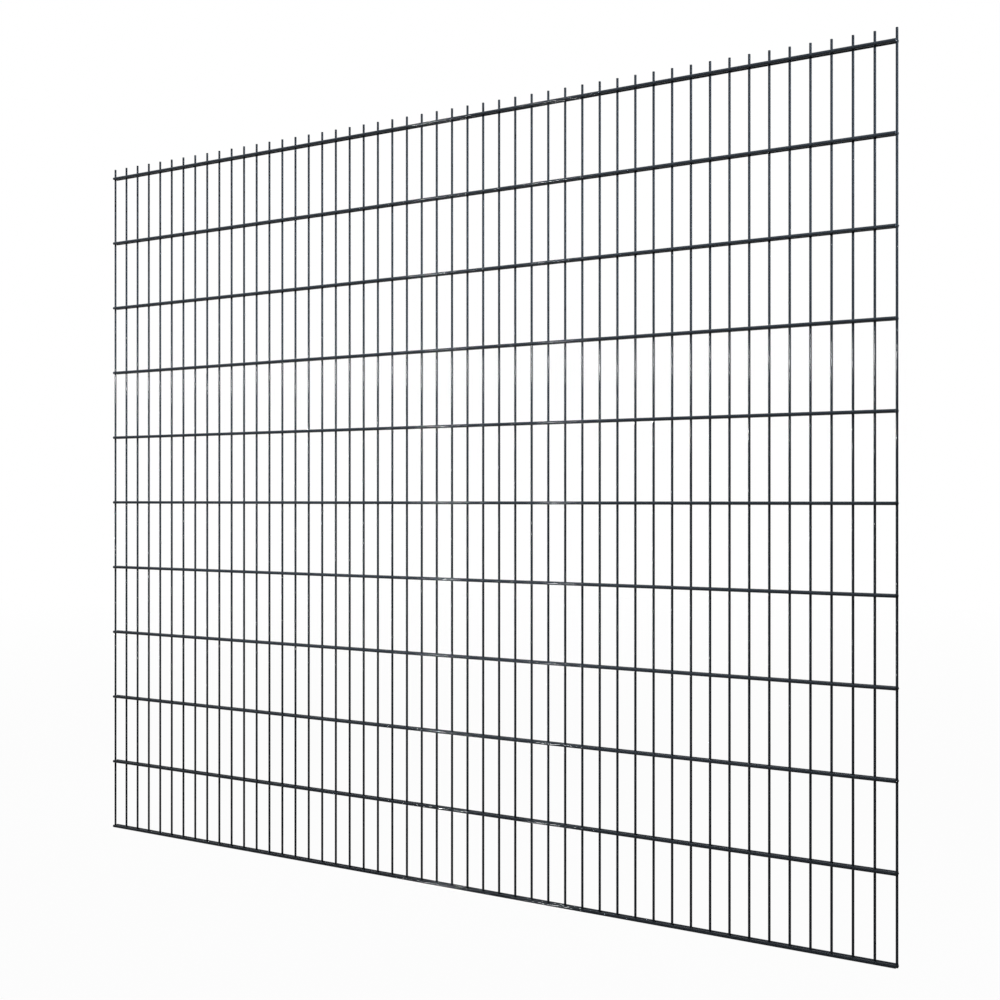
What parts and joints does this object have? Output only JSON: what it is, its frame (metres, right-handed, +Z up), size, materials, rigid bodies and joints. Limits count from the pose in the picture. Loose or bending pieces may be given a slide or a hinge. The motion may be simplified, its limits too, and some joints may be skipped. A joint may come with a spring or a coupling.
{
  "type": "welded mesh fence panel",
  "caption": "Straight welded mesh fence panel: thin vertical wires between pairs of thicker horizontal wires, flush at the foot, with short bare wire tips along the top.",
  "frame": {"origin": "halfway along the panel, on the flat back of the bottom row's back wire, which lies against the posts", "axes": "+X along the panel, +Y out of its back towards the posts, +Z up; the front looks towards -Y"},
  "size_m": [2.5058, 0.0217, 2.033],
  "materials": {
    "anthracite_powder_coat": "satin"
  },
  "bodies": {
    "root": {"vertical_wires_with_top_row": "anthracite_powder_coat", "row_01_front_wire": "anthracite_powder_coat", "row_01_back_wire": "anthracite_powder_coat", "row_02_front_wire": "anthracite_powder_coat", "row_02_back_wire": "anthracite_powder_coat", "row_03_front_wire": "anthracite_powder_coat", "row_03_back_wire": "anthracite_powder_coat", "row_04_front_wire": "anthracite_powder_coat", "row_04_back_wire": "anthracite_powder_coat", "row_05_front_wire": "anthracite_powder_coat", "row_05_back_wire": "anthracite_powder_coat", "row_06_front_wire": "anthracite_powder_coat", "row_06_back_wire": "anthracite_powder_coat", "row_07_front_wire": "anthracite_powder_coat", "row_07_back_wire": "anthracite_powder_coat", "row_08_front_wire": "anthracite_powder_coat", "row_08_back_wire": "anthracite_powder_coat", "row_09_front_wire": "anthracite_powder_coat", "row_09_back_wire": "anthracite_powder_coat", "row_10_front_wire": "anthracite_powder_coat", "row_10_back_wire": "anthracite_powder_coat"}
  },
  "joints": []
}
